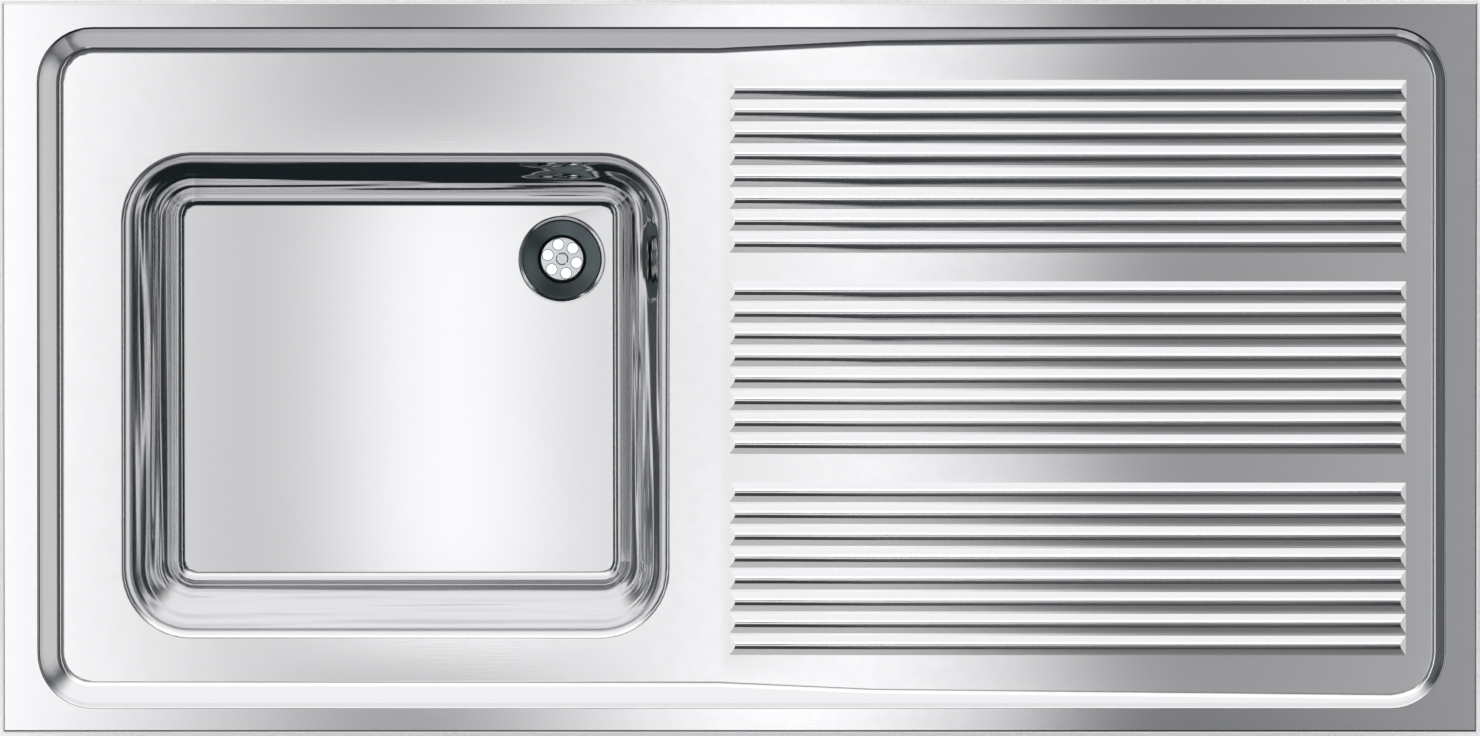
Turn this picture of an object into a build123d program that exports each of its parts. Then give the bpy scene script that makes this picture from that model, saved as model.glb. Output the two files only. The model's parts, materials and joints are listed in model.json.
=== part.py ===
# Lay-on kitchen sink with one bowl and a drainer to its right, in millimetres.
# The origin is the middle of the plane that rests on the cabinet. +X runs along the sink to the drainer,
# +Y to the rear wall and +Z up.
from build123d import *
from math import cos, radians, sin, tan
import os

# Pressed top
length = 1200
depth = 595
apron_height = 40
sheet = 1.2
bend_radius = 2.5
return_width = 18
rim_left = 30
rim_right = 27
rim_rear = 22
rim_front = 21

# Recessed tray, measured down from the rim
tray_corner = 44
tray_depth = 10
ramp_depth = 6.6
end_depth = 4.4
wall_angle = 30
brow_radius = 5
foot_radius = 14
fold_gap = 39
ramp_length = 126

# Bowl and the rolled lip round its cut-out
bowl_from_left = 96.5
bowl_from_front = 76
lip_length = 447
lip_width = 396.5
lip_corner = 57
lip_radius = 9
lip_skirt = 3
bowl_depth = 155
bowl_draft = 12.5
bowl_floor_radius = 12.5

# Drainer ribs
rib_pitch = 17.8
rib_width = 15.9
rib_slope = 22
rib_crest = 9
rib_count = 8
rib_groups = 3
group_pitch = 163.7
rib_gap = 9
rib_length = 550
rib_hip = 30

# Drainer stiffeners and damping pads
stiffener_width = 34
stiffener_height = 14
stiffener_flange = 14
stiffener_sheet = 1.2
stiffener_length = 490
stiffener_inset = 120
stiffener_pitch = 230
pad_thickness = 2.5
drainer_pad_length = 120
drainer_pad_width = 400
bowl_pad_length = 210
bowl_pad_width = 170
bowl_pad_inset = 40
pad_corner = 12

# Waste: a conical dish clamped through the floor by one screw
dish_radius = 31.8
dish_bore = 18
dish_sheet = 0.8
dish_sink = 0.3
dish_throat = 6.5
dish_bend = 2.5
dish_ledge = 1.4
dish_slope = 30
gasket = 0.6
gasket_clearance = 0.02
waste_hole = 23.5
waste_from_right = 41
waste_from_rear = 43.4
recess_brow = 3
strainer_thickness = 2
strainer_edge = 0.55
strainer_clearance = 0.3
petal_count = 6
petal_circle = 12.2
petal_radius = 4.3
petal_angle = 45
screw_radius = 3
screw_head_radius = 5.2
screw_head_height = 2.2
screw_slot = 1.3
screw_length = 24
thread_clearance = 0.1
body_flange = 33
body_wall = 3
body_bore = 20.5
outlet_radius = 23.9
outlet_length = 24
body_height = 56
boss_radius = 7.5
boss_drop = 24
boss_height = 9
arm_count = 3
spoke_width = 2.4
nut_flats = 10
nut_height = 5
nut_clearance = 0.1

# Edge clamps: measured inwards from the apron's outer face
clamp_inset = 75
clamp_width = 20
clamp_play = 0.5
clamp_sheet = 1.5
clamp_reach = 27
clamp_pivot_height = 11
bracket_height = 18
bracket_lift = 3
bracket_end = 7
rivet_radius = 2.5
rivet_head = 4.5
rivet_head_height = 1.2
running_clearance = 0.05
hook_sheet = 2.5
hook_eye = 5
hook_drop = 32
hook_tip = 4
hook_bend = 5
clamp_screw_reach = 13
rail_thickness = 18
clamp_screw_length = 34
clamp_screw_head = 5
clamp_screw_head_height = 4
clamp_disc_radius = 7
clamp_disc_height = 2

# Earth tag on the rear apron, with its M5 screw
tag_x = 40
tag_width = 20
tag_sheet = 1.5
tag_reach = 20
tag_height = 24
tag_foot = 10
tag_hole = 2.65
tag_screw_radius = 2.5
tag_screw_length = 14
tag_head_flats = 8
tag_head_height = 3.5
tag_washer_radius = 5
tag_washer_height = 1

# Margins for cutting solids and for picking edges, not sizes of the sink
cut_margin = 1
pick_margin = 0.01

left = -length / 2
front = -depth / 2
tray_left = left + rim_left
tray_right = -left - rim_right
tray_front = front + rim_front
tray_rear = -front - rim_rear
tray_x = (tray_left + tray_right) / 2
tray_y = (tray_front + tray_rear) / 2
bowl_x = left + bowl_from_left + lip_length / 2
bowl_y = front + bowl_from_front + lip_width / 2
fold_x = left + bowl_from_left + lip_length + fold_gap
ramp_x = fold_x + ramp_length
level_x = tray_right - tray_corner
wall_run = 1 / tan(radians(wall_angle))
tray_floor = [(fold_x, tray_depth), (ramp_x, ramp_depth), (level_x, end_depth)]

lip_bottom = apron_height - tray_depth - lip_radius - lip_skirt
bowl_floor = apron_height - bowl_depth
mouth_length = lip_length - 2 * lip_radius
mouth_width = lip_width - 2 * lip_radius
mouth_corner = lip_corner - lip_radius
wall_inset = (lip_bottom - bowl_floor) * tan(radians(bowl_draft))
bowl_inset = wall_inset + bowl_floor_radius * tan(radians((90 - bowl_draft) / 2))
floor_left = bowl_x - mouth_length / 2 + bowl_inset
floor_right = bowl_x + mouth_length / 2 - bowl_inset
floor_front = bowl_y - mouth_width / 2 + bowl_inset
floor_rear = bowl_y + mouth_width / 2 - bowl_inset
waste_x = floor_right - waste_from_right
waste_y = floor_rear - waste_from_rear
recess_radius = (
    dish_radius + (dish_sink + (dish_sheet + gasket) / cos(radians(dish_slope))) / tan(radians(dish_slope))
)
recess_depth = (recess_radius - waste_hole) * tan(radians(dish_slope))


def tray_drop(x):
    # depth of the drainer's floor below the rim
    if x >= level_x:
        return end_depth
    (x0, d0), (x1, d1) = tray_floor[0:2] if x < ramp_x else tray_floor[1:3]
    return d0 + (d1 - d0) * (x - x0) / (x1 - x0)


def level_tray(top, sink, widen, foot, keep_side, cut_x):
    # one side of a level tray: its wall slopes up past the rim, and its foot is rounded
    grow = widen + cut_margin * wall_run
    with BuildPart() as tray:
        with BuildSketch(Plane.XY.offset(top + cut_margin)):
            with Locations((tray_x, tray_y)):
                RectangleRounded(
                    tray_right - tray_left + 2 * grow,
                    tray_rear - tray_front + 2 * grow,
                    tray_corner + grow,
                )
        extrude(amount=-(sink + cut_margin), taper=90 - wall_angle)
        fillet(tray.faces().sort_by(Axis.Z)[0].edges(), radius=foot)
        split(bisect_by=Plane.YZ.offset(cut_x), keep=keep_side)
    return tray.part


def tray_section(x, top, sink, widen, foot):
    # the tray's cross-section at x, seen along X
    grow = widen + cut_margin * wall_run
    inset = sink * wall_run - widen
    with BuildSketch(Plane(origin=(x, 0, 0), x_dir=(0, 1, 0), z_dir=(1, 0, 0))) as section:
        with BuildLine():
            Polyline(
                (tray_front - grow, top + cut_margin),
                (tray_front + inset, top - sink),
                (tray_rear - inset, top - sink),
                (tray_rear + grow, top + cut_margin),
                close=True,
            )
        make_face()
        fillet(section.vertices().group_by(Axis.Y)[0], radius=foot)
    return section.sketch


def tray_hollow(drop):
    # the space the tray leaves: level round the bowl, rising along the drainer, level at its end
    top = apron_height - drop
    widen = drop * tan(radians(wall_angle / 2))
    foot = foot_radius + drop
    with BuildPart() as hollow:
        add(level_tray(top, tray_depth, widen, foot, Keep.BOTTOM, fold_x))
        add(level_tray(top, end_depth, widen, foot, Keep.TOP, level_x))
        for (x0, d0), (x1, d1) in zip(tray_floor, tray_floor[1:]):
            low = tray_section(x0, top, d0, widen, foot)
            high = tray_section(x1, top, d1, widen, foot)
            loft([low, high], ruled=True)
    return hollow.part


def rib(drop):
    # one rib with flat flanks, a round crest and hipped ends, its skirt buried in the floor
    top = apron_height - drop
    half = rib_width / 2 - drop * tan(radians(rib_slope / 2))
    crest = rib_crest - drop
    shoulder = crest * sin(radians(rib_slope))
    flank = (half - shoulder) * tan(radians(rib_slope))
    height = flank + crest * (1 - cos(radians(rib_slope)))
    inset = drop * tan(radians(rib_hip / 2))
    start = fold_x + rib_gap + inset
    end = fold_x + rib_gap + rib_length - inset
    sections = []
    for x in (start, ramp_x, level_x, end):
        floor_plane = Plane(origin=(x, 0, top - tray_drop(x)), x_dir=(0, 1, 0), z_dir=(1, 0, 0))
        with BuildSketch(floor_plane) as section:
            with BuildLine():
                Line((-half, 0), (-shoulder, flank))
                ThreePointArc((-shoulder, flank), (0, height), (shoulder, flank))
                Polyline(
                    (shoulder, flank),
                    (half, 0),
                    (half, -cut_margin),
                    (-half, -cut_margin),
                    (-half, 0),
                )
            make_face()
        sections.append(section.sketch)
    lean = sin(radians(rib_hip))
    with BuildPart() as ridge:
        loft(sections, ruled=True)
        split(
            bisect_by=Plane(
                origin=(start, 0, top - tray_drop(start)), z_dir=(-lean, 0, cos(radians(rib_hip)))
            ),
            keep=Keep.BOTTOM,
        )
        split(
            bisect_by=Plane(
                origin=(end, 0, top - tray_drop(end)), z_dir=(lean, 0, cos(radians(rib_hip)))
            ),
            keep=Keep.BOTTOM,
        )
    return ridge.part


rib_rows = [
    tray_y
    + (group - (rib_groups - 1) / 2) * group_pitch
    + (row - (rib_count - 1) / 2) * rib_pitch
    for group in range(rib_groups)
    for row in range(rib_count)
]


def pressing(drop):
    # everything under the top's skin, taken drop below the surface that shows
    top = apron_height - drop
    with BuildPart() as form:
        with BuildSketch(Plane.XY.offset(drop)):
            Rectangle(length - 2 * drop, depth - 2 * drop)
        extrude(amount=top - drop)
        fillet(form.edges(), radius=bend_radius - drop)
        add(tray_hollow(drop), mode=Mode.SUBTRACT)
        brow = [
            edge
            for edge in form.edges().filter_by_position(Axis.Z, top - pick_margin, top + pick_margin)
            if tray_front - brow_radius < edge.center().Y < tray_rear + brow_radius
            and tray_left - brow_radius < edge.center().X < tray_right + brow_radius
        ]
        fillet(brow, radius=brow_radius - drop)
        with BuildSketch(Plane.XY.offset(top)):
            with Locations((bowl_x, bowl_y)):
                RectangleRounded(
                    mouth_length + 2 * drop, mouth_width + 2 * drop, mouth_corner + drop
                )
        extrude(amount=-apron_height, mode=Mode.SUBTRACT)
        rim = [
            edge
            for edge in form.edges().filter_by_position(
                Axis.Z, top - tray_depth - pick_margin, top - tray_depth + pick_margin
            )
            if abs(edge.center().X - bowl_x) < lip_length / 2
            and abs(edge.center().Y - bowl_y) < lip_width / 2
        ]
        fillet(rim, radius=lip_radius - drop)
        with Locations([(0, y, 0) for y in rib_rows]):
            add(rib(drop))
    return form.part


# The pressed top: rim, tray, ribbed drainer, rolled lip, aprons and return flange in one sheet
with BuildPart() as top:
    add(pressing(0))
    add(pressing(sheet), mode=Mode.SUBTRACT)
    with BuildSketch():
        Rectangle(length - 2 * return_width, depth - 2 * return_width)
        with Locations((bowl_x, bowl_y)):
            Rectangle(lip_length, lip_width, mode=Mode.SUBTRACT)
    extrude(amount=sheet, mode=Mode.SUBTRACT)
    with BuildSketch():
        with Locations((bowl_x, bowl_y)):
            Rectangle(lip_length, lip_width)
    extrude(amount=lip_bottom, mode=Mode.SUBTRACT)
top.part.label = "top"


def bowl_form(grow):
    # the space inside the bowl, taken grow outside the surface that shows
    floor_z = bowl_floor - grow
    with BuildPart() as form:
        with BuildSketch(Plane.XY.offset(lip_bottom)):
            with Locations((bowl_x, bowl_y)):
                RectangleRounded(
                    mouth_length + 2 * grow, mouth_width + 2 * grow, mouth_corner + grow
                )
        extrude(amount=floor_z - lip_bottom, taper=bowl_draft)
        fillet(form.faces().sort_by(Axis.Z)[0].edges(), radius=bowl_floor_radius + grow)
        with BuildSketch(Plane.XY.offset(floor_z)):
            with Locations((waste_x, waste_y)):
                Circle(recess_radius + grow * tan(radians(dish_slope / 2)))
        extrude(amount=-recess_depth, taper=90 - dish_slope)
        level = form.edges().filter_by_position(
            Axis.Z, floor_z - pick_margin, floor_z + pick_margin
        )
        ring = level.filter_by(GeomType.CIRCLE).sort_by(SortBy.RADIUS)[-1]
        fillet(ring, radius=recess_brow - grow)
    return form.part


# The bowl: drafted walls, a round foot, and a conical seat for the waste pressed in its floor
with BuildPart() as bowl:
    add(bowl_form(sheet))
    add(bowl_form(0), mode=Mode.SUBTRACT)
    with BuildSketch(Plane.XY.offset(bowl_floor)):
        with Locations((waste_x, waste_y)):
            Circle(waste_hole)
    extrude(amount=-(recess_depth + 2 * sheet), mode=Mode.SUBTRACT)
bowl.part.label = "bowl"

# Profiles of the waste are drawn as radius and height above the bowl's floor
waste_plane = Plane(origin=(waste_x, waste_y, bowl_floor), x_dir=(1, 0, 0), z_dir=(0, -1, 0))
waste_axis = Axis((waste_x, waste_y, bowl_floor), (0, 0, 1))


def cone_height(radius, below):
    # height of the cone that lies below the dish's own top surface, measured square to it
    slope = radians(dish_slope)
    return -dish_sink - (dish_radius - radius) * tan(slope) - below / cos(slope)


throat_z = cone_height(dish_bore, 0) - dish_throat

# The waste dish: conical flange, throat and ledge
with BuildPart() as waste_dish:
    with BuildSketch(waste_plane) as profile:
        with BuildLine():
            Polyline(
                (dish_radius, cone_height(dish_radius, 0)),
                (dish_bore, cone_height(dish_bore, 0)),
                (dish_bore, throat_z),
                (dish_bore - dish_ledge, throat_z),
                (dish_bore - dish_ledge, throat_z - dish_sheet),
                (dish_bore + dish_sheet, throat_z - dish_sheet),
                (dish_bore + dish_sheet, cone_height(dish_bore + dish_sheet, dish_sheet)),
                (dish_radius, cone_height(dish_radius, dish_sheet)),
                close=True,
            )
        make_face()
        bend = profile.vertices().filter_by_position(
            Axis.X, dish_bore - pick_margin, dish_bore + pick_margin
        )
        fillet(bend.sort_by(Axis.Y)[-1], radius=dish_bend)
        lip = profile.vertices().group_by(Axis.X)[-1].sort_by(Axis.Y)[-1]
        fillet(lip, radius=dish_sheet / 2)
    revolve(axis=waste_axis)
waste_dish.part.label = "waste_dish"


def cone_ring(name, inner, outer, top_gap, bottom_gap):
    # a ring of even thickness that lies between two of the waste's cones
    with BuildPart() as ring:
        with BuildSketch(waste_plane):
            with BuildLine():
                Polyline(
                    (inner, cone_height(inner, top_gap)),
                    (outer, cone_height(outer, top_gap)),
                    (outer, cone_height(outer, bottom_gap)),
                    (inner, cone_height(inner, bottom_gap)),
                    close=True,
                )
            make_face()
        revolve(axis=waste_axis)
    ring.part.label = name
    return ring.part


seat_gap = dish_sheet + gasket
flange_gap = seat_gap + sheet + gasket
dish_gasket = cone_ring(
    "dish_gasket",
    waste_hole + gasket,
    dish_radius - gasket,
    dish_sheet,
    seat_gap - gasket_clearance,
)
body_gasket = cone_ring(
    "body_gasket",
    waste_hole + 2 * gasket,
    body_flange - gasket,
    seat_gap + sheet + gasket_clearance,
    flange_gap - gasket_clearance,
)

# The flower-shaped strainer, laid on the dish's ledge
strainer_top = throat_z + strainer_thickness
with BuildPart() as strainer:
    with BuildSketch(Plane.XY.offset(bowl_floor + throat_z)):
        with Locations((waste_x, waste_y)):
            Circle(dish_bore - strainer_clearance)
            Circle(screw_radius + thread_clearance, mode=Mode.SUBTRACT)
            with PolarLocations(petal_circle, petal_count, start_angle=petal_angle):
                Circle(petal_radius, mode=Mode.SUBTRACT)
    extrude(amount=strainer_thickness)
    fillet(
        strainer.faces().sort_by(Axis.Z)[-1].edges().filter_by(
            lambda edge: edge.radius > petal_radius - pick_margin
        ),
        radius=strainer_edge,
    )
strainer.part.label = "strainer"

# The screw that pulls the dish and the body together
with BuildPart() as strainer_screw:
    with BuildSketch(waste_plane) as profile:
        with BuildLine():
            Polyline(
                (0, strainer_top + screw_head_height),
                (screw_head_radius, strainer_top + screw_head_height),
                (screw_head_radius, strainer_top),
                (screw_radius, strainer_top),
                (screw_radius, strainer_top - screw_length),
                (0, strainer_top - screw_length),
                close=True,
            )
        make_face()
        head = profile.vertices().group_by(Axis.X)[-1].sort_by(Axis.Y)[-1]
        fillet(head, radius=screw_head_height / 2)
    revolve(axis=waste_axis)
    with BuildSketch(Plane.XY.offset(bowl_floor + strainer_top + screw_head_height)):
        with Locations((waste_x, waste_y)):
            Rectangle(screw_slot, 2 * screw_head_radius, rotation=petal_angle)
    extrude(amount=-screw_head_height / 2, mode=Mode.SUBTRACT)
strainer_screw.part.label = "strainer_screw"

# The waste body: conical flange, neck, 1 1/2 in outlet, and a spider with its arms under the strainer's bars
neck_radius = outlet_radius + body_wall
neck_z = outlet_length - body_height
with BuildPart() as waste_body:
    with BuildSketch(waste_plane):
        with BuildLine():
            Polyline(
                (body_bore, cone_height(body_bore, flange_gap)),
                (body_flange, cone_height(body_flange, flange_gap)),
                (body_flange, cone_height(body_flange, flange_gap) - body_wall),
                (neck_radius, cone_height(neck_radius, flange_gap) - body_wall),
                (neck_radius, neck_z),
                (outlet_radius, neck_z),
                (outlet_radius, -body_height),
                (body_bore, -body_height),
                close=True,
            )
        make_face()
    revolve(axis=waste_axis)
    with BuildSketch(Plane.XY.offset(bowl_floor - boss_drop - boss_height)):
        with Locations((waste_x, waste_y)):
            Circle(boss_radius)
            arm_start = boss_radius - spoke_width / 2
            with PolarLocations(
                arm_start, arm_count, start_angle=petal_angle + 180 / petal_count
            ):
                Rectangle(
                    body_bore + body_wall / 2 - arm_start,
                    spoke_width,
                    align=(Align.MIN, Align.CENTER),
                )
            Circle(screw_radius + 2 * thread_clearance, mode=Mode.SUBTRACT)
    extrude(amount=boss_height)
    with BuildSketch(Plane.XY.offset(bowl_floor - boss_drop - boss_height)):
        with Locations((waste_x, waste_y)):
            RegularPolygon(nut_flats / 2 + nut_clearance, 6, major_radius=False)
    extrude(amount=nut_height, mode=Mode.SUBTRACT)
waste_body.part.label = "waste_body"

# The brass nut in the spider's pocket
with BuildPart() as waste_nut:
    with BuildSketch(Plane.XY.offset(bowl_floor - boss_drop - boss_height)):
        with Locations((waste_x, waste_y)):
            RegularPolygon(nut_flats / 2, 6, major_radius=False)
            Circle(screw_radius + thread_clearance, mode=Mode.SUBTRACT)
    extrude(amount=nut_height)
waste_nut.part.label = "waste_nut"

# Drainer underside: the stiffeners and pads are stuck to the sloping sheet between the ribs
drainer_fall = (ramp_depth - end_depth) / (level_x - ramp_x)


def under_drainer(x, y):
    return (x, y, apron_height - tray_drop(x) - sheet)


def stiffener(name, x):
    # a hat-shaped channel that runs from front to rear
    section_plane = Plane(
        origin=under_drainer(x, tray_y + stiffener_length / 2),
        x_dir=(1, 0, drainer_fall),
        z_dir=(0, -1, 0),
    )
    with BuildPart() as channel:
        with BuildSketch(section_plane) as section:
            with Locations((0, -stiffener_height / 2)):
                Rectangle(stiffener_width, stiffener_height)
            fillet(section.vertices().group_by(Axis.Y)[0], radius=2 * stiffener_sheet)
            with Locations((0, -(stiffener_height - stiffener_sheet) / 2)):
                Rectangle(
                    stiffener_width - 2 * stiffener_sheet,
                    stiffener_height - stiffener_sheet,
                    mode=Mode.SUBTRACT,
                )
            with Locations((0, -stiffener_sheet / 2)):
                Rectangle(stiffener_width + 2 * stiffener_flange, stiffener_sheet)
                Rectangle(
                    stiffener_width - 2 * stiffener_sheet, stiffener_sheet, mode=Mode.SUBTRACT
                )
        extrude(amount=stiffener_length)
    channel.part.label = name
    return channel.part


stiffener_x = ramp_x + stiffener_inset
stiffener_left = stiffener("stiffener_left", stiffener_x)
stiffener_right = stiffener("stiffener_right", stiffener_x + stiffener_pitch)


def damping_pad(name, plane, pad_length, pad_width):
    # a glued sheet that lies under the plane
    with BuildPart() as pad:
        with BuildSketch(plane):
            RectangleRounded(pad_length, pad_width, pad_corner)
        extrude(amount=-pad_thickness)
    pad.part.label = name
    return pad.part


drainer_pad = damping_pad(
    "drainer_pad",
    Plane(
        origin=under_drainer(stiffener_x + stiffener_pitch / 2, tray_y),
        x_dir=(1, 0, drainer_fall),
        z_dir=(-drainer_fall, 0, 1),
    ),
    drainer_pad_length,
    drainer_pad_width,
)
bowl_pad = damping_pad(
    "bowl_pad",
    Plane.XY.offset(bowl_floor - sheet).shift_origin(
        (
            floor_left + bowl_pad_inset + bowl_pad_length / 2,
            floor_front + bowl_pad_inset + bowl_pad_width / 2,
            bowl_floor - sheet,
        )
    ),
    bowl_pad_length,
    bowl_pad_width,
)

# Edge clamps. Each is drawn once at the middle of the front edge, with +Y inwards.
clamp_x = length / 2 - clamp_inset
clamp_places = {
    "front_left": Location((-clamp_x, front, 0)),
    "front_right": Location((clamp_x, front, 0)),
    "rear_left": Location((-clamp_x, -front, 0), (0, 0, 180)),
    "rear_right": Location((clamp_x, -front, 0), (0, 0, 180)),
}
ear_gap = clamp_width / 2 + clamp_play
ear_outside = ear_gap + clamp_sheet
pivot_plane = Plane(origin=(0, 0, 0), x_dir=(0, 1, 0), z_dir=(1, 0, 0))
pivot = (clamp_reach, clamp_pivot_height)

# The bracket: a web welded to the apron, with two ears for the rivet
with BuildPart() as clamp_bracket:
    with BuildSketch(pivot_plane) as ear:
        with Locations((sheet, bracket_lift)):
            Rectangle(
                clamp_reach + bracket_end - sheet,
                bracket_height,
                align=(Align.MIN, Align.MIN),
            )
        fillet(ear.vertices().group_by(Axis.X)[-1], radius=bracket_end)
    extrude(amount=ear_outside, both=True)
    with BuildSketch(pivot_plane):
        with Locations((sheet + clamp_sheet, 0)):
            Rectangle(length, depth, align=(Align.MIN, Align.CENTER))
    extrude(amount=ear_gap, both=True, mode=Mode.SUBTRACT)
    with BuildSketch(pivot_plane):
        with Locations(pivot):
            Circle(rivet_radius + running_clearance)
    extrude(amount=ear_outside, both=True, mode=Mode.SUBTRACT)

# The rivet: a shank with a head outside each ear
with BuildPart() as clamp_rivet:
    with BuildSketch(pivot_plane):
        with Locations(pivot):
            Circle(rivet_radius)
    extrude(amount=ear_outside, both=True)
    for side in (-1, 1):
        with BuildSketch(pivot_plane.offset(side * ear_outside)):
            with Locations(pivot):
                Circle(rivet_head)
        extrude(amount=side * rivet_head_height)

# The hook: an eye on the rivet, a strip down past the rail, and a foot under it
strip_y = clamp_reach + hook_eye
with BuildPart() as clamp_hook:
    with BuildSketch(pivot_plane) as hook_side:
        with Locations((strip_y, clamp_pivot_height)):
            Rectangle(
                hook_sheet,
                clamp_pivot_height + hook_drop + hook_sheet,
                align=(Align.MAX, Align.MAX),
            )
        with Locations((strip_y, -hook_drop)):
            Rectangle(strip_y - hook_tip, hook_sheet, align=(Align.MAX, Align.MAX))
        outer = hook_side.vertices().sort_by(Axis.Y)[0:2].sort_by(Axis.X)[-1]
        fillet(outer, radius=hook_bend)
        inner = hook_side.vertices().sort_by_distance((strip_y - hook_sheet, -hook_drop))[0]
        fillet(inner, radius=hook_bend - hook_sheet)
        with Locations(pivot):
            Circle(hook_eye)
            Circle(rivet_radius + running_clearance, mode=Mode.SUBTRACT)
    extrude(amount=clamp_width / 2, both=True)
    with BuildSketch(Plane.XY.offset(-hook_drop)):
        with Locations((0, clamp_screw_reach)):
            Circle(screw_radius + thread_clearance)
    extrude(amount=-hook_sheet, mode=Mode.SUBTRACT)

# The clamp screw: a disc that presses on the rail, a shank and a hexagon head
with BuildPart() as clamp_screw:
    with BuildSketch(Plane.XY.offset(-rail_thickness)):
        with Locations((0, clamp_screw_reach)):
            Circle(clamp_disc_radius)
    extrude(amount=-clamp_disc_height)
    with BuildSketch(Plane.XY.offset(-rail_thickness)):
        with Locations((0, clamp_screw_reach)):
            Circle(screw_radius)
    extrude(amount=-clamp_screw_length)
    with BuildSketch(Plane.XY.offset(-rail_thickness - clamp_screw_length)):
        with Locations((0, clamp_screw_reach)):
            RegularPolygon(clamp_screw_head, 6, major_radius=False)
    extrude(amount=-clamp_screw_head_height)

with BuildPart() as clamp_brackets:
    with Locations(*clamp_places.values()):
        add(clamp_bracket.part)
clamp_brackets.part.label = "clamp_brackets"

with BuildPart() as clamp_rivets:
    with Locations(*clamp_places.values()):
        add(clamp_rivet.part)
clamp_rivets.part.label = "clamp_rivets"

# The earth tag: an angle welded to the rear apron, with its screw pointing up
tag_y = -front - sheet
tag_hole_y = tag_y - (tag_reach + tag_sheet) / 2
tag_top = tag_foot + tag_sheet
with BuildPart() as earth_tag:
    with BuildSketch(Plane.XY.offset(tag_foot)):
        with Locations((tag_x, tag_y)):
            Rectangle(tag_width, tag_reach, align=(Align.CENTER, Align.MAX))
        with Locations((tag_x, tag_hole_y)):
            Circle(tag_hole, mode=Mode.SUBTRACT)
    extrude(amount=tag_sheet)
    with BuildSketch(Plane.XY.offset(tag_foot)):
        with Locations((tag_x, tag_y)):
            Rectangle(tag_width, tag_sheet, align=(Align.CENTER, Align.MAX))
    extrude(amount=tag_height)
earth_tag.part.label = "earth_tag"

with BuildPart() as earth_screw:
    with BuildSketch(Plane.XY.offset(tag_foot - tag_washer_height)):
        with Locations((tag_x, tag_hole_y)):
            RegularPolygon(tag_head_flats / 2, 6, major_radius=False)
    extrude(amount=-tag_head_height)
    with BuildSketch(Plane.XY.offset(tag_foot - tag_washer_height)):
        with Locations((tag_x, tag_hole_y)):
            Circle(tag_screw_radius)
    extrude(amount=tag_screw_length)
earth_screw.part.label = "earth_screw"

with BuildPart() as earth_washers:
    for washer_z in (tag_foot - tag_washer_height, tag_top):
        with BuildSketch(Plane.XY.offset(washer_z)):
            with Locations((tag_x, tag_hole_y)):
                Circle(tag_washer_radius)
                Circle(tag_hole, mode=Mode.SUBTRACT)
        extrude(amount=tag_washer_height)
earth_washers.part.label = "earth_washers"

with BuildPart() as earth_nut:
    with BuildSketch(Plane.XY.offset(tag_top + tag_washer_height)):
        with Locations((tag_x, tag_hole_y)):
            RegularPolygon(tag_head_flats / 2, 6, major_radius=False)
            Circle(tag_screw_radius + thread_clearance, mode=Mode.SUBTRACT)
    extrude(amount=tag_head_height)
earth_nut.part.label = "earth_nut"

pieces = [
    top.part,
    bowl.part,
    waste_dish.part,
    dish_gasket,
    strainer.part,
    strainer_screw.part,
    body_gasket,
    waste_body.part,
    waste_nut.part,
    bowl_pad,
    drainer_pad,
    stiffener_left,
    stiffener_right,
    clamp_brackets.part,
    clamp_rivets.part,
    earth_tag.part,
    earth_screw.part,
    earth_washers.part,
    earth_nut.part,
]
for corner, place in clamp_places.items():
    for name, piece in (("clamp_hook", clamp_hook.part), ("clamp_screw", clamp_screw.part)):
        placed = piece.moved(place)
        placed.label = f"{name}_{corner}"
        pieces.append(placed)

os.makedirs("parts", exist_ok=True)
for piece in pieces:
    export_step(piece, f"parts/{piece.label}.step")
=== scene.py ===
import json
import math

import bmesh
import bpy
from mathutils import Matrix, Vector


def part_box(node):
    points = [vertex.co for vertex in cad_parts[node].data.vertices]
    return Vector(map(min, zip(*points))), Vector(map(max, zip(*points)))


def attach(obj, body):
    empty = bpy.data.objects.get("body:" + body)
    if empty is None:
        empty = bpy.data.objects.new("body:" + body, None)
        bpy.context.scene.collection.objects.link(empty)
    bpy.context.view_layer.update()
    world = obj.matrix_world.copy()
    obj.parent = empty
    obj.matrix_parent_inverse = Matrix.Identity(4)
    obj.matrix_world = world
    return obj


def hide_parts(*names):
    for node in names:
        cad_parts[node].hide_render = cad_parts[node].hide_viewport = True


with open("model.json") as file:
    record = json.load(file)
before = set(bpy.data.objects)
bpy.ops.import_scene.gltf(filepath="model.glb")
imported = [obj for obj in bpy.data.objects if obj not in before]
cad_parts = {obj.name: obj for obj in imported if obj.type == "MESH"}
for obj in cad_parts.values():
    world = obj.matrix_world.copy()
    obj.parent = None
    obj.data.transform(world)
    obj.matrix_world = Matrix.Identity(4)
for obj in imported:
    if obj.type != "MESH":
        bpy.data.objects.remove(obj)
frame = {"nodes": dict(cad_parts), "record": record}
bpy.context.view_layer.update()
scene = bpy.context.scene
nodes = frame["nodes"]
bodyOf = {node: body for body, names in frame["record"]["behaviour"]["bodies"].items() for node in names}
print("frame loaded")


def newTree(name):
    material = bpy.data.materials.new(name)
    material.use_nodes = True
    return material, material.node_tree


def feed(tree, socket, value):
    if isinstance(value, bpy.types.NodeSocket):
        tree.links.new(value, socket)
    else:
        socket.default_value = value


def calc(tree, operation, first, second=0.0, third=0.0):
    node = tree.nodes.new("ShaderNodeMath")
    node.operation = operation
    for socket, value in zip(node.inputs, (first, second, third)):
        feed(tree, socket, value)
    return node.outputs[0]


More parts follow.
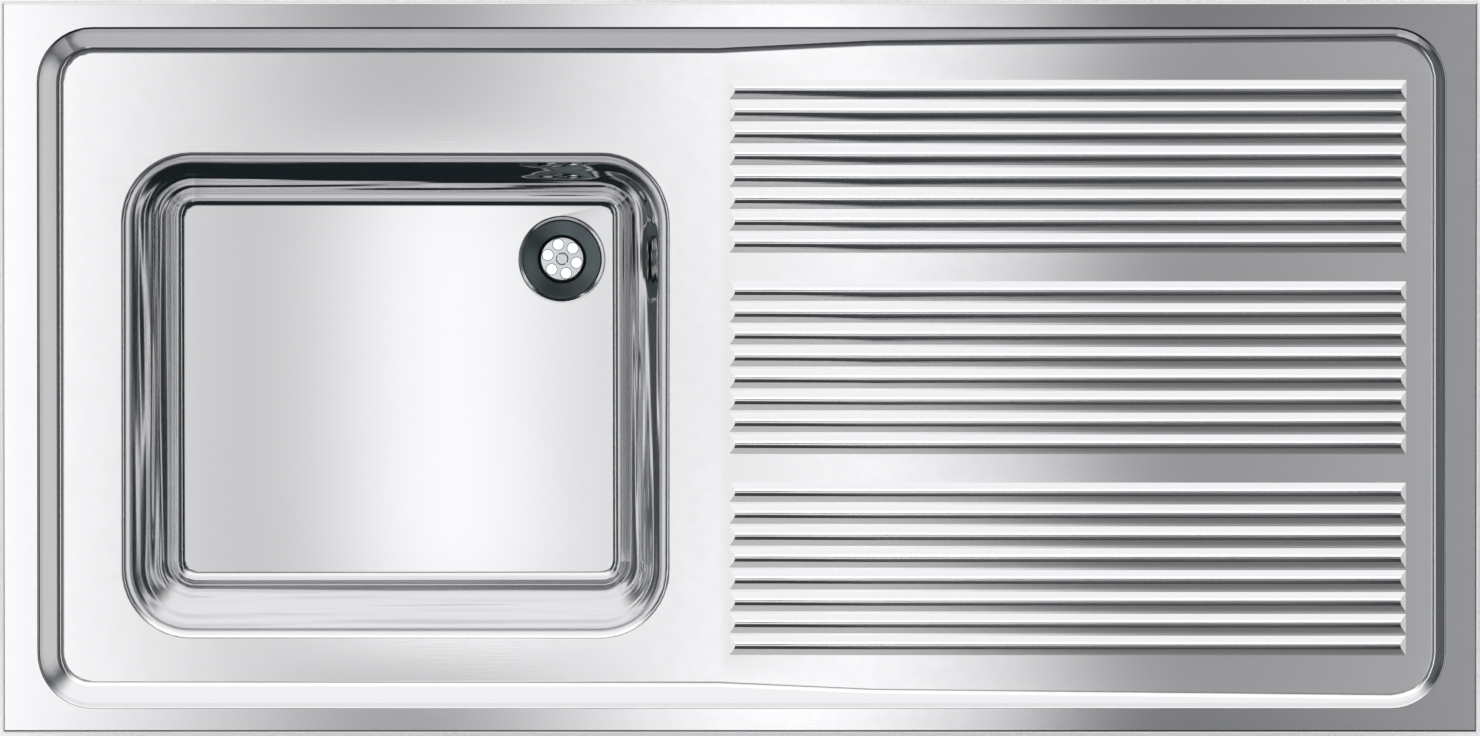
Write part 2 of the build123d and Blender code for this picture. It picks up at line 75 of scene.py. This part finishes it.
def ease(tree, value, fromLow, fromHigh, toLow=0.0, toHigh=1.0, shape="SMOOTHSTEP"):
    node = tree.nodes.new("ShaderNodeMapRange")
    node.interpolation_type = shape
    for socket, given in zip(node.inputs, (value, fromLow, fromHigh, toLow, toHigh)):
        feed(tree, socket, given)
    return node.outputs[0]


def ramp(tree, value, stops, shape="LINEAR"):
    node = tree.nodes.new("ShaderNodeValToRGB")
    node.color_ramp.interpolation = shape
    elements = node.color_ramp.elements
    elements.remove(elements[1])
    elements[0].position = stops[0][0]
    elements[0].color = (*stops[0][1], 1)
    for place, colour in stops[1:]:
        elements.new(place).color = (*colour, 1)
    feed(tree, node.inputs[0], value)
    return node.outputs[0]


def blendColour(tree, factor, first, second):
    node = tree.nodes.new("ShaderNodeMix")
    node.data_type = "RGBA"
    feed(tree, node.inputs[0], factor)
    feed(tree, node.inputs[6], first)
    feed(tree, node.inputs[7], second)
    return node.outputs[2]


def objectPlace(tree):
    return tree.nodes.new("ShaderNodeTexCoord").outputs["Object"]


def split(tree, vector):
    node = tree.nodes.new("ShaderNodeSeparateXYZ")
    feed(tree, node.inputs[0], vector)
    return node.outputs[0], node.outputs[1], node.outputs[2]


def stretched(tree, vector, scale):
    node = tree.nodes.new("ShaderNodeVectorMath")
    node.operation = "MULTIPLY"
    feed(tree, node.inputs[0], vector)
    node.inputs[1].default_value = scale
    return node.outputs[0]


def noise(tree, vector, scale, detail=2.0, roughness=0.5):
    node = tree.nodes.new("ShaderNodeTexNoise")
    feed(tree, node.inputs["Vector"], vector)
    node.inputs["Scale"].default_value = scale
    node.inputs["Detail"].default_value = detail
    node.inputs["Roughness"].default_value = roughness
    return node.outputs["Fac"]


def bump(tree, height, distance, strength=1.0, under=None):
    node = tree.nodes.new("ShaderNodeBump")
    node.inputs["Distance"].default_value = distance
    node.inputs["Strength"].default_value = strength
    feed(tree, node.inputs["Height"], height)
    if under is not None:
        feed(tree, node.inputs["Normal"], under)
    return node.outputs["Normal"]


def newGroup(name, inputs, outputs):
    group = bpy.data.node_groups.new(name, "ShaderNodeTree")
    for label, kind, value in inputs:
        group.interface.new_socket(label, in_out="INPUT", socket_type=kind).default_value = value
    for label, kind in outputs:
        group.interface.new_socket(label, in_out="OUTPUT", socket_type=kind)
    return group, group.nodes.new("NodeGroupInput"), group.nodes.new("NodeGroupOutput")


def useGroup(tree, group, **values):
    node = tree.nodes.new("ShaderNodeGroup")
    node.node_tree = group
    for label, value in values.items():
        feed(tree, node.inputs[label], value)
    return node.outputs


# a fine satin grain along one axis, and slow mottling of the pressed sheet
grainLook = {"stretch": (14, 900, 900), "mottle": 110.0, "detail": 3.0, "mix": 0.6}
noiseRange = (0.3, 0.7)  # where most values of a noise lie
grain, grainIn, grainOut = newGroup(
    "sheetGrain",
    [("Stretch", "NodeSocketVector", grainLook["stretch"])],
    [("Height", "NodeSocketFloat"), ("Mottle", "NodeSocketFloat")],
)
place = objectPlace(grain)
brushed = grain.nodes.new("ShaderNodeVectorMath")
brushed.operation = "MULTIPLY"
grain.links.new(place, brushed.inputs[0])
grain.links.new(grainIn.outputs["Stretch"], brushed.inputs[1])
hairlines = noise(grain, brushed.outputs[0], 1.0, grainLook["detail"], grainLook["mix"])
mottling = noise(grain, place, grainLook["mottle"], grainLook["detail"], grainLook["mix"])
grain.links.new(hairlines, grainOut.inputs["Height"])
grain.links.new(mottling, grainOut.inputs["Mottle"])

# rings of a screw thread, every pitch along z, between two heights
thread, threadIn, threadOut = newGroup(
    "threadRelief",
    [("Pitch", "NodeSocketFloat", 0.001), ("Low", "NodeSocketFloat", 0.0), ("High", "NodeSocketFloat", 0.01)],
    [("Height", "NodeSocketFloat")],
)
threadZ = split(thread, objectPlace(thread))[2]
turn = calc(thread, "FRACT", calc(thread, "DIVIDE", threadZ, threadIn.outputs["Pitch"]))
ridge = calc(thread, "ABSOLUTE", calc(thread, "SUBTRACT", turn, 0.5))
inside = calc(
    thread,
    "MULTIPLY",
    calc(thread, "GREATER_THAN", threadZ, threadIn.outputs["Low"]),
    calc(thread, "LESS_THAN", threadZ, threadIn.outputs["High"]),
)
thread.links.new(calc(thread, "MULTIPLY", ridge, inside), threadOut.inputs["Height"])


def metal(name, colour, roughness, metallic=1.0):
    material, tree = newTree(name)
    shader = tree.nodes["Principled BSDF"]
    shader.inputs["Base Color"].default_value = (*colour, 1)
    shader.inputs["Metallic"].default_value = metallic
    shader.inputs["Roughness"].default_value = roughness
    return material, tree, shader


# the pressed sheet: a bright rim, a satin tray, bright rib sides and a duller rolled lip
topLook = {
    "colour": (0.80, 0.795, 0.81), "trayPaintedLighter": (0.90, 0.895, 0.91),
    "rim": 0.08, "tray": 0.12, "slope": 0.05, "lip": 0.30, "mottle": 0.03,  # roughness of each part
    "rimLevel": 0.0385, "lipLevel": 0.0295, "fade": 0.001,  # heights where one part gives way to the next
    "metallic": 0.90, "slopeMetallic": 0.97,  # the satin scatters a little light, its pressed sides less
    "flatFrom": 0.992, "slopedFrom": 0.95,  # upright share of the surface's direction
    "grain": 0.00001,
}
satinSteel, tree, shader = metal("satinSteel", topLook["colour"], topLook["tray"])
sheet = useGroup(tree, grain)
topZ = split(tree, objectPlace(tree))[2]
raised = ease(tree, topZ, topLook["rimLevel"] - topLook["fade"], topLook["rimLevel"])
rolled = ease(tree, topZ, topLook["lipLevel"], topLook["lipLevel"] - topLook["fade"])
flatness = tree.nodes.new("ShaderNodeAttribute")
flatness.attribute_name = "flatness"
pressed = ease(tree, flatness.outputs["Fac"], topLook["flatFrom"], topLook["slopedFrom"])
clean = ease(tree, pressed, 0, 1, topLook["metallic"], topLook["slopeMetallic"], "LINEAR")
feed(tree, shader.inputs["Metallic"], ease(tree, raised, 0, 1, clean, 1, "LINEAR"))
smooth = ease(tree, raised, 0, 1, topLook["tray"], topLook["rim"], "LINEAR")
polished = ease(tree, pressed, 0, 1, smooth, topLook["slope"], "LINEAR")
satin = ease(tree, rolled, 0, 1, polished, topLook["lip"], "LINEAR")
# painted light: the tray is given a lighter colour than the rim, though both are the same steel sheet
sheetColour = blendColour(tree, raised, (*topLook["trayPaintedLighter"], 1), (*topLook["colour"], 1))
feed(tree, shader.inputs["Base Color"], sheetColour)
feed(tree, shader.inputs["Roughness"], calc(tree, "MULTIPLY_ADD", sheet["Mottle"], topLook["mottle"], satin))
feed(tree, shader.inputs["Normal"], bump(tree, sheet["Height"], topLook["grain"]))

# the drawn bowl: polished walls, satin floor, and slow ripples along the walls that fade out at their foot
bowlLook = {
    "colour": (0.79, 0.79, 0.80), "floor": 0.13, "wall": 0.045, "floorLevel": -0.113, "fade": 0.004,
    "rippleFoot": 0.008, "rippleHead": 0.045, "rippleStretch": (2.4, 2.4, 16), "ripple": 0.011,
    "grain": 0.000008,
}
bowlSteel, tree, shader = metal("bowlSteel", bowlLook["colour"], bowlLook["wall"])
sheet = useGroup(tree, grain)
place = objectPlace(tree)
bowlZ = split(tree, place)[2]
bowlFloor = bowlLook["floorLevel"]
flat = ease(tree, bowlZ, bowlFloor + bowlLook["fade"], bowlFloor)
feed(tree, shader.inputs["Roughness"], ease(tree, flat, 0, 1, bowlLook["wall"], bowlLook["floor"], "LINEAR"))
upright = ease(tree, bowlZ, bowlFloor + bowlLook["rippleFoot"], bowlFloor + bowlLook["rippleHead"])
ripple = calc(tree, "SUBTRACT", noise(tree, stretched(tree, place, bowlLook["rippleStretch"]), 1.0, 1.5), 0.5)
rippled = bump(tree, calc(tree, "MULTIPLY", ripple, upright), bowlLook["ripple"])
feed(tree, shader.inputs["Normal"], bump(tree, sheet["Height"], bowlLook["grain"], 1.0, rippled))

# the waste's dish, turned, with painted shade down its throat: a near-black colour below a height
chromeLook = {
    "colour": (0.20, 0.245, 0.26), "throatShadeColour": (0.012, 0.014, 0.015),
    "throatLevel": -0.1218, "fade": 0.0006,
    "roughness": 0.36, "spread": 0.08, "turning": (500, 500, 4000),
}
chrome, tree, shader = metal("wasteChrome", chromeLook["colour"], chromeLook["roughness"])
place = objectPlace(tree)
turned = noise(tree, stretched(tree, place, chromeLook["turning"]), 1.0)
smoothest = chromeLook["roughness"] - chromeLook["spread"] / 2
feed(tree, shader.inputs["Roughness"], calc(tree, "MULTIPLY_ADD", turned, chromeLook["spread"], smoothest))
throatLevel = chromeLook["throatLevel"]
# painted shade: below throatLevel the dish's colour turns near-black, standing for the shadow in its throat
paintedThroatShade = ease(tree, split(tree, place)[2], throatLevel, throatLevel - chromeLook["fade"])
dishColourAndThroatShade = blendColour(tree, paintedThroatShade, (*chromeLook["colour"], 1), (*chromeLook["throatShadeColour"], 1))
feed(tree, shader.inputs["Base Color"], dishColourAndThroatShade)

# the strainer and its screw, bright on top, with painted shade below the strainer's upper face: the hole
# walls and all lower faces are coloured near-black
brightLook = {
    "colour": (0.60, 0.63, 0.65), "holeWallShade": (0.03, 0.034, 0.036), "roughness": 0.12,
    "edgeLevel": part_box("strainer")[1].z - 0.00001, "fade": 0.00005, "peening": 900.0, "dents": 0.00001,
}
brightChrome, tree, shader = metal("strainerChrome", brightLook["colour"], brightLook["roughness"])
place = objectPlace(tree)
dents = noise(tree, place, brightLook["peening"])
feed(tree, shader.inputs["Normal"], bump(tree, dents, brightLook["dents"]))
edgeLevel = brightLook["edgeLevel"]
# painted shade: under the strainer's upper face the colour turns near-black, standing for the shadow in its
# holes
paintedHoleShade = ease(tree, split(tree, place)[2], edgeLevel, edgeLevel - brightLook["fade"])
strainerColour = blendColour(tree, paintedHoleShade, (*brightLook["colour"], 1), (*brightLook["holeWallShade"], 1))
feed(tree, shader.inputs["Base Color"], strainerColour)

# zinc plate, with its crystals showing as a slight change of tone
zincLook = {
    "colour": (0.60, 0.61, 0.60), "roughness": 0.42, "stretch": (160, 160, 160), "grain": 0.00006,
    "mottleFrom": 0.35, "mottleTo": 0.65, "darkest": 0.88, "lightest": 1.05,
}
zinc, tree, shader = metal("zincSteel", zincLook["colour"], zincLook["roughness"])
sheet = useGroup(tree, grain, Stretch=zincLook["stretch"])
spangle = ease(
    tree, sheet["Mottle"],
    zincLook["mottleFrom"], zincLook["mottleTo"], zincLook["darkest"], zincLook["lightest"],
)
tint = tree.nodes.new("ShaderNodeVectorMath")
tint.operation = "SCALE"
tint.inputs[0].default_value = zincLook["colour"]
feed(tree, tint.inputs["Scale"], spangle)
feed(tree, shader.inputs["Base Color"], tint.outputs[0])
feed(tree, shader.inputs["Normal"], bump(tree, sheet["Height"], zincLook["grain"]))

screwLook = {
    "colour": (0.66, 0.66, 0.64), "roughness": 0.33,
    "pitch": 0.001, "depth": 0.0005, "low": -0.052, "high": -0.0195,
}
zincThread, tree, shader = metal("zincThread", screwLook["colour"], screwLook["roughness"])
turns = useGroup(tree, thread, Pitch=screwLook["pitch"], Low=screwLook["low"], High=screwLook["high"])
feed(tree, shader.inputs["Normal"], bump(tree, turns["Height"], screwLook["depth"]))

brassLook = {
    "colour": (0.70, 0.53, 0.28), "roughness": 0.3,
    "bright": 0.22, "tarnished": 0.42, "tarnish": 260.0,
}
brass, tree, shader = metal("brass", brassLook["colour"], brassLook["roughness"])
tarnish = noise(tree, objectPlace(tree), brassLook["tarnish"], 4.0)
brassRoughness = ease(tree, tarnish, *noiseRange, brassLook["bright"], brassLook["tarnished"])
feed(tree, shader.inputs["Roughness"], brassRoughness)

rubberLook = {"colour": (0.018, 0.018, 0.019), "roughness": 0.62, "pores": 1500.0, "depth": 0.00003}
rubber, tree, shader = metal("blackRubber", rubberLook["colour"], rubberLook["roughness"], 0.0)
pores = noise(tree, objectPlace(tree), rubberLook["pores"])
feed(tree, shader.inputs["Normal"], bump(tree, pores, rubberLook["depth"]))

dampingLook = {
    "colour": (0.055, 0.056, 0.06), "pitColour": (0.035, 0.035, 0.038), "faceColour": (0.075, 0.076, 0.08),
    "roughness": 0.75, "pits": 420.0, "depth": 0.0004,
}
damping, tree, shader = metal("dampingSheet", dampingLook["colour"], dampingLook["roughness"], 0.0)
pits = noise(tree, objectPlace(tree), dampingLook["pits"], 3.0, 0.7)
pitted = ramp(tree, pits, list(zip(noiseRange, (dampingLook["pitColour"], dampingLook["faceColour"]))))
feed(tree, shader.inputs["Normal"], bump(tree, pits, dampingLook["depth"]))
feed(tree, shader.inputs["Base Color"], pitted)

outletLook = {
    "colour": (0.78, 0.78, 0.76), "roughness": 0.38, "smoothest": 0.34, "roughest": 0.44, "moulding": 60.0,
    "pitch": 0.0023, "depth": 0.0011, "low": -0.169, "high": -0.149,
}
whitePlastic, tree, shader = metal("whitePlastic", outletLook["colour"], outletLook["roughness"], 0.0)
turns = useGroup(tree, thread, Pitch=outletLook["pitch"], Low=outletLook["low"], High=outletLook["high"])
moulded = noise(tree, objectPlace(tree), outletLook["moulding"])
plasticRoughness = ease(tree, moulded, *noiseRange, outletLook["smoothest"], outletLook["roughest"])
feed(tree, shader.inputs["Roughness"], plasticRoughness)
feed(tree, shader.inputs["Normal"], bump(tree, turns["Height"], outletLook["depth"]))
print("materials made")


def dressed(node, material, sharpAngle=17, mergeWithin=2e-6):
    # a merged copy of the CAD mesh, shaded round over its fillets, stands for the node
    mesh = nodes[node].data.copy()
    mesh.name = node + "Skin"
    if "custom_normal" in mesh.attributes:
        mesh.attributes.remove(mesh.attributes["custom_normal"])
    work = bmesh.new()
    work.from_mesh(mesh)
    bmesh.ops.remove_doubles(work, verts=work.verts, dist=mergeWithin)
    for edge in work.edges:
        edge.smooth = len(edge.link_faces) == 2 and edge.calc_face_angle(0) < math.radians(sharpAngle)
    for face in work.faces:
        face.smooth = True
    work.to_mesh(mesh)
    work.free()
    mesh.materials.clear()
    mesh.materials.append(material)
    piece = bpy.data.objects.new(node + "Skin", mesh)
    scene.collection.objects.link(piece)
    weighted = piece.modifiers.new("weighted", "WEIGHTED_NORMAL")
    weighted.keep_sharp = True
    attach(piece, bodyOf[node])
    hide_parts(node)
    return piece


topSkin = dressed("top", satinSteel).data
flatness = topSkin.attributes.new("flatness", "FLOAT", "POINT")
flatness.data.foreach_set("value", [vertex.normal.z for vertex in topSkin.vertices])
dressed("bowl", bowlSteel)
print("pressings dressed")

dressed("waste_dish", chrome)
dressed("strainer", brightChrome)
dressed("strainer_screw", brightChrome)
dressed("waste_body", whitePlastic)
dressed("dish_gasket", rubber)
dressed("body_gasket", rubber)
dressed("waste_nut", brass)
print("waste dressed")

fittings = {
    "bowl_pad": (damping, "damping_sheet"),
    "drainer_pad": (damping, "damping_sheet"),
    "stiffener_left": (zinc, "zinc_steel"),
    "stiffener_right": (zinc, "zinc_steel"),
    "clamp_brackets": (zinc, "zinc_steel"),
    "clamp_rivets": (zinc, "zinc_steel"),
    "earth_tag": (zinc, "zinc_steel"),
    "earth_screw": (zinc, "zinc_steel"),
    "earth_washers": (brass, "brass"),
    "earth_nut": (brass, "brass"),
}
for corner in ("front_left", "front_right", "rear_left", "rear_right"):
    fittings["clamp_hook_" + corner] = (zinc, "zinc_steel")
    fittings["clamp_screw_" + corner] = (zincThread, "zinc_steel")
for node, (material, slotName) in fittings.items():
    dressed(node, material)
print("fittings dressed")


def fourSided(name, corners, material):
    mesh = bpy.data.meshes.new(name)
    mesh.from_pydata(corners, [], [(0, 1, 2, 3)])
    mesh.materials.append(material)
    piece = bpy.data.objects.new(name, mesh)
    scene.collection.objects.link(piece)
    return piece


def plate(name, low, high, height, material):
    corners = [(low[0], low[1]), (high[0], low[1]), (high[0], high[1]), (low[0], high[1])]
    piece = fourSided(name, [(x, y, height) for x, y in corners], material)


def glowing(name, colour, strength):
    material, tree = newTree(name)
    tree.nodes.remove(tree.nodes["Principled BSDF"])
    light = tree.nodes.new("ShaderNodeEmission")
    feed(tree, light.inputs["Color"], colour)
    feed(tree, light.inputs["Strength"], strength)
    tree.links.new(light.outputs[0], tree.nodes["Material Output"].inputs["Surface"])
    return material, tree, light


# a pale floor just under the outlet
floorLook = {"colour": (0.86, 0.86, 0.86), "roughness": 0.7, "reach": 9, "gap": 0.0004}
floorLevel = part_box("waste_body")[0].z - floorLook["gap"]
floorEnd = floorLook["reach"]
pale = metal("paleFloor", floorLook["colour"], floorLook["roughness"], 0.0)[0]
plate("floor", (-floorEnd, -floorEnd), (floorEnd, floorEnd), floorLevel, pale)

# a small white plate under the outlet, seen through the strainer's holes
glowLook = {"half": 0.02, "lift": 0.0002, "strength": 1.15}
wasteLow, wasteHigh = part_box("waste_body")
wasteMid = (wasteLow + wasteHigh) / 2
glow = glowing("outletGlow", (1, 1, 1, 1), glowLook["strength"])[0]
glowLow = (wasteMid.x - glowLook["half"], wasteMid.y - glowLook["half"])
glowHigh = (wasteMid.x + glowLook["half"], wasteMid.y + glowLook["half"])
plate("outletGlow", glowLow, glowHigh, floorLevel + glowLook["lift"], glow)

# a long lamp box above the sink with a grid over it, brightness varying along the sink
lampLook = {
    "size": (3.0, 2.4), "place": (0, -0.04, 1.2), "lean": math.radians(2.1), "grid": math.radians(16),
    "evenReach": 2.27, "stopReach": 1.4,
    "glow": 1.08, "glowCentre": (-0.262, -0.0735), "glowWidth": 0.19, "glowDepth": (0.23, 0.18),
}
lampStops = [
    (-0.62, 1.27), (-0.42, 0.67), (-0.27, 0.31), (-0.12, 1.02), (0.04, 1.50), (0.15, 1.11),
    (0.23, 0.83), (0.30, 0.37), (0.38, 0.18), (0.62, 0.41),
]
lampData = bpy.data.lights.new("griddedLamp", "AREA")
lampData.shape = "RECTANGLE"
lampData.size, lampData.size_y = lampLook["size"]
lampData.spread = lampLook["grid"]
halfGrid = lampLook["grid"] / 2
lampArea = lampData.size * lampData.size_y
# the energy at which the lamp, seen straight through its grid, has brightness 1
lampData.energy = math.pi * lampArea * (math.tan(halfGrid) - halfGrid) / math.tan(halfGrid)
lampData.use_nodes = True
tree = lampData.node_tree
lampX, lampY = split(tree, tree.nodes.new("ShaderNodeNewGeometry").outputs["Position"])[:2]
# the stops go in at half their strength, and level doubles them again
stopShare = calc(tree, "MULTIPLY_ADD", lampX, 1 / lampLook["stopReach"], 0.5)
halved = [(0.5 + at / lampLook["stopReach"], (strength / 2,) * 3) for at, strength in lampStops]
along = ramp(tree, stopShare, halved, "B_SPLINE")
# a soft glow over the bowl
glowX, glowY = lampLook["glowCentre"]
across = ease(tree, calc(tree, "ABSOLUTE", calc(tree, "SUBTRACT", lampY, glowY)), *lampLook["glowDepth"])
bell = ease(tree, calc(tree, "ABSOLUTE", calc(tree, "SUBTRACT", lampX, glowX)), lampLook["glowWidth"], 0)
spot = calc(tree, "MULTIPLY", calc(tree, "MULTIPLY", bell, across), lampLook["glow"])
# stronger away from its middle, where the grid holds more of it back
fromMiddleY = calc(tree, "SUBTRACT", lampY, lampLook["place"][1])
squareSum = calc(tree, "MULTIPLY_ADD", lampX, lampX, calc(tree, "MULTIPLY", fromMiddleY, fromMiddleY))
heldBack = calc(tree, "MULTIPLY_ADD", calc(tree, "SQRT", squareSum), -1 / lampLook["evenReach"], 1.0)
level = calc(tree, "DIVIDE", calc(tree, "MULTIPLY_ADD", along, 2.0, spot), heldBack)
feed(tree, tree.nodes["Emission"].inputs["Strength"], level)
griddedLamp = bpy.data.objects.new("griddedLamp", lampData)
scene.collection.objects.link(griddedLamp)
griddedLamp.location = lampLook["place"]
griddedLamp.rotation_euler = (lampLook["lean"], 0, 0)
griddedLamp.visible_camera = False

# a grey card beyond the front edge, darker towards the drainer's end
frontCardLook = {"end": 1.8, "y": -4, "low": 2.7, "high": 4.3, "from": (0.027, 0.52), "to": (0.356, 0.15)}
card, tree, light = glowing("frontCard", (1, 1, 1, 1), 1.0)
cardX = split(tree, objectPlace(tree))[0]
(paleX, paleStrength), (darkX, darkStrength) = frontCardLook["from"], frontCardLook["to"]
feed(tree, light.inputs["Strength"], ease(tree, cardX, paleX, darkX, paleStrength, darkStrength))
cardEnd, cardY = frontCardLook["end"], frontCardLook["y"]
cardLow, cardHigh = frontCardLook["low"], frontCardLook["high"]
frontCard = fourSided(
    "frontCard",
    [
        (-cardEnd, cardY, cardLow), (cardEnd, cardY, cardLow),
        (cardEnd, cardY, cardHigh), (-cardEnd, cardY, cardHigh),
    ],
    card,
)
frontCard.visible_camera = False
frontCard.visible_shadow = False

# a white card high on the left, faced by the left hips of the ribs
hipCardLook = {"left": -2.1, "right": -1.35, "end": 1.5, "height": 1, "strength": 0.9}
hipCard = glowing("hipCard", (1, 1, 1, 1), hipCardLook["strength"])[0]
hipLeft, hipRight = hipCardLook["left"], hipCardLook["right"]
hipEnd, hipZ = hipCardLook["end"], hipCardLook["height"]
hipPlate = fourSided(
    "hipCard",
    [(hipLeft, -hipEnd, hipZ), (hipRight, -hipEnd, hipZ), (hipRight, hipEnd, hipZ), (hipLeft, hipEnd, hipZ)],
    hipCard,
)
hipPlate.visible_camera = False
hipPlate.visible_shadow = False

# the room: bright towards the wall, dark round the lamp, described by the angle away from straight up
world = bpy.data.worlds.new("studio")
scene.world = world
world.use_nodes = True
tree = world.node_tree
rayX, rayY, rayZ = split(tree, tree.nodes.new("ShaderNodeTexCoord").outputs["Generated"])


def byAngle(sideways, stops):
    turnPart = calc(tree, "DIVIDE", calc(tree, "ARCTAN2", sideways, rayZ), 2 * math.pi)
    share = calc(tree, "ADD", turnPart, 0.5)
    return ramp(tree, share, [(0.5 + angle / 360, colour) for angle, colour in stops])


def neutral(strength):
    return (strength, strength, strength)


dark = (0.010, 0.016, 0.019)
grey = (0.34, 0.34, 0.36)
white = (0.97, 0.97, 0.98)
# degrees away from straight up, towards the front (below zero) and the wall
frontToRear = byAngle(rayY, [
    (-90, (0.2, 0.2, 0.21)), (-68, (0.4, 0.4, 0.41)), (-61, (0.5, 0.5, 0.52)), (-55, grey), (-48, grey),
    (-44, dark), (8, dark), (11, neutral(0.9)), (15, neutral(1.17)), (32, neutral(1.17)), (37, white),
    (78, white), (90, neutral(0.5)),
])
# the same towards the left (below zero) and the right, with the narrow lights that the bowl's side walls show
leftToRight = byAngle(rayX, [
    (-90, neutral(0.9)), (-74, neutral(0.85)), (-68, (0.7, 0.7, 0.72)), (-65, (0.18, 0.19, 0.2)),
    (-58, (0.16, 0.17, 0.18)), (-54, (0.06, 0.07, 0.075)), (-46, (0.08, 0.09, 0.1)),
    (-28.5, (0.06, 0.07, 0.075)), (-27.5, neutral(1.3)), (-24, neutral(1.3)), (-23, (0.05, 0.06, 0.065)),
    (-16, (0.1, 0.11, 0.12)), (-14, dark), (-8, dark), (-6.5, neutral(0.5)), (-4, neutral(0.95)),
    (-2.8, dark), (20, dark), (25.5, (0.02, 0.03, 0.035)), (26.5, neutral(1.4)), (28.5, neutral(1.4)),
    (29.5, (0.02, 0.03, 0.035)), (45, (0.05, 0.06, 0.065)), (52, (0.12, 0.13, 0.14)),
    (57, neutral(0.62)), (66, neutral(0.65)), (72, neutral(0.9)), (90, neutral(0.9)),
])
crossShare = (0.25, 0.75)  # where left to right gives way to front to rear
squareX = calc(tree, "MULTIPLY", rayX, rayX)
squareY = calc(tree, "MULTIPLY", rayY, rayY)
sideTotal = calc(tree, "ADD", calc(tree, "ADD", squareX, squareY), 1e-6)
crosswise = calc(tree, "DIVIDE", squareY, sideTotal)
room = blendColour(tree, ease(tree, crosswise, *crossShare), leftToRight, frontToRear)
camera = tree.nodes.new("ShaderNodeLightPath").outputs["Is Camera Ray"]
backdrop = blendColour(tree, camera, room, (1, 1, 1, 1))
feed(tree, tree.nodes["Background"].inputs["Color"], backdrop)

fillLook = {"size": 5, "energy": 165, "place": (0, 0, 3.6)}
fillData = bpy.data.lights.new("fill", "AREA")
fillData.size = fillLook["size"]
fillData.energy = fillLook["energy"]
fill = bpy.data.objects.new("fill", fillData)
scene.collection.objects.link(fill)
fill.location = fillLook["place"]
fill.visible_camera = False
fill.visible_glossy = False
print("studio lit")

cameraLook = {"lens": 450, "width": 1.2025, "aim": (0.0001, -0.0005, 0.04), "lean": math.radians(2.1)}
cameraData = bpy.data.cameras.new("camera")
cameraData.lens = cameraLook["lens"]
cameraData.clip_end = 100
cameraObject = bpy.data.objects.new("camera", cameraData)
scene.collection.objects.link(cameraObject)
away = cameraLook["lens"] * cameraLook["width"] / cameraData.sensor_width
lean = cameraLook["lean"]
cameraObject.location = Vector(cameraLook["aim"]) + Vector((0, math.sin(lean), math.cos(lean))) * away
cameraObject.rotation_euler = (-lean, 0, 0)
scene.camera = cameraObject
scene.view_settings.view_transform = "Standard"
print("camera set")

bpy.context.view_layer.update()
